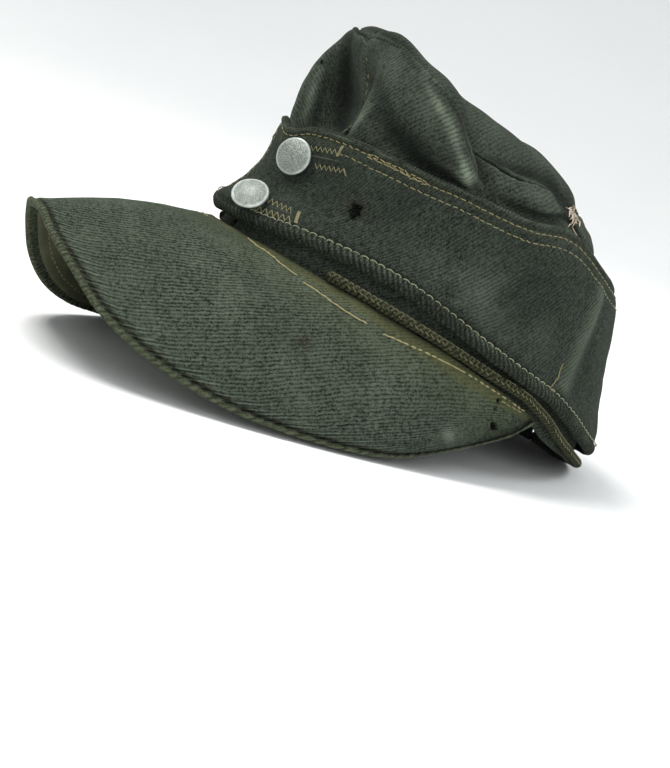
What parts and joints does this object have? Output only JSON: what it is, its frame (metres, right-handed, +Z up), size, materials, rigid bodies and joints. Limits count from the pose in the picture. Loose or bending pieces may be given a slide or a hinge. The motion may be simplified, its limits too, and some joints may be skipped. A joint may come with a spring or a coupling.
{
  "type": "field cap",
  "caption": "Worn grey-green wool field cap with a stiff drooping peak, a soft dented crown and a fold-up flap buttoned at the front.",
  "frame": {"origin": "on the floor under the middle of the cap's bounding box, the cap standing by itself on its peak's side edges and the back of its rim", "axes": "+Z up from the floor, -Y the way the peak points, +X toward the wearer's left"},
  "size_m": [0.1768, 0.2692, 0.149],
  "materials": {
    "crown_wool": "grey-green wool twill, worn pale along the folds",
    "flap_wool": "grey-green wool twill, slightly bluer than the peak",
    "peak_wool": "grey-green wool twill stretched over a stiffener",
    "underlay_cloth": "dark olive-brown cloth, plain",
    "lining": "faded pink-cream lining, matt",
    "button_metal": "dull pebbled metal, brighter at the rim"
  },
  "bodies": {
    "root": {"crown_left_panel": "crown_wool", "crown_right_panel": "crown_wool", "crown_top_panel": "crown_wool", "crown_lining_patch": "lining", "crown_edge_seam": "flap_wool", "flap_left": "flap_wool", "flap_right": "flap_wool", "peak_cover": "peak_wool", "peak_underlay": "underlay_cloth", "button_upper": "button_metal", "button_lower": "button_metal"}
  },
  "joints": []
}
